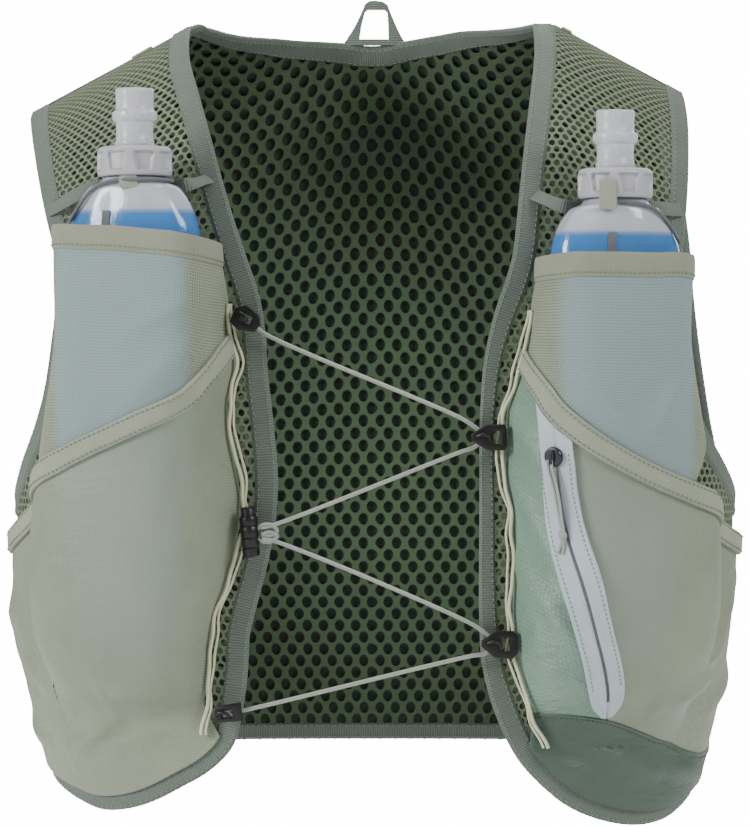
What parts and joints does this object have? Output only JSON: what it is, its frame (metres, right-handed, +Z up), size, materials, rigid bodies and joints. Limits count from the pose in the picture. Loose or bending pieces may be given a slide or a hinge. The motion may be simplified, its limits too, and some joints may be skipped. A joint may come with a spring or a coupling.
{
  "type": "running hydration vest",
  "caption": "Sleeveless running vest of net and stretch cloth, with a soft flask in each chest pocket and elastic lacing across the open front.",
  "frame": {"origin": "midway between the two shoulder straps, level with where they rest beside the neck", "axes": "+Z up the wearer's body, -Y the way the front faces, +X to the viewer's right as seen from the front"},
  "size_m": [0.3894, 0.264, 0.441],
  "materials": {
    "net": "open warp-knit net",
    "binding": "ribbed elastic edging",
    "mesh": "thick spacer mesh with round holes",
    "cover": "plain woven back cover",
    "pocket": "fine stretch mesh",
    "rim": "folded elastic",
    "ripstop": "thin ripstop with a soft sheen",
    "flap": "plain stretch cloth",
    "zip": "coated zip tape",
    "cream": "braided elastic cord",
    "lace": "braided elastic lace",
    "grey": "thin braided cord",
    "plastic": "moulded black plastic",
    "cap": "translucent grey moulding",
    "valve": "clear silicone",
    "flask": "clear soft film",
    "metal": "dark plated"
  },
  "bodies": {
    "vest": {"front_binding_left": "binding", "front_binding_right": "binding", "armhole_binding_left": "binding", "armhole_binding_right": "binding", "shoulder_net_left": "net", "shoulder_net_right": "net", "flask_pocket_left": "pocket", "flask_pocket_right": "pocket", "pocket_rim_left": "rim", "pocket_rim_right": "rim", "pocket_tape_left": "rim", "pocket_tape_right": "rim", "flask_left": "flask", "flask_right": "flask", "retention_cord_left": "grey", "retention_cord_right": "grey", "neck_strap_left": "binding", "neck_strap_right": "binding", "edge_cord_left": "cream", "edge_cord_right": "cream", "back_mesh": "mesh", "back_cover": "cover", "neck_binding": "binding", "back_hem_binding": "binding", "lower_pocket_left": "pocket", "lower_pocket_right": "pocket", "ripstop_panel": "ripstop", "hem_flap": "flap", "zip_tape": "zip", "zip_slider": "metal", "zip_pull_cord": "grey", "clip_upper_left": "plastic", "clip_upper_right": "plastic", "clip_lower_right": "plastic", "clip_lower_left": "plastic", "cord_lock_barrel": "plastic", "lacing_cord_upper": "lace", "lacing_cord_lower": "lace", "hang_loop": "rim", "shoulder_tab_left": "rim", "shoulder_tab_right": "rim"},
    "cap_left": {"flask_cap_left": "cap", "bite_valve_left": "valve"},
    "cap_right": {"flask_cap_right": "cap", "bite_valve_right": "valve"},
    "lock_button": {"cord_lock_button": "plastic"}
  },
  "joints": [
    {"name": "cap_left_turn", "type": "hinge", "parent": "vest", "child": "cap_left", "pos_m": [-0.1207, -0.12083, -0.0812], "axis": [0, 0, 1], "range_deg": [0, 360]},
    {"name": "cap_right_turn", "type": "hinge", "parent": "vest", "child": "cap_right", "pos_m": [0.1207, -0.12083, -0.0922], "axis": [0, 0, 1], "range_deg": [0, 360]},
    {"name": "lock_button_press", "type": "slide", "parent": "vest", "child": "lock_button", "axis": [0.0794, 0.0619, -0.9949], "range_m": [0, 0.003], "stiffness_N_per_m": 300, "springref_m": -0.001}
  ]
}
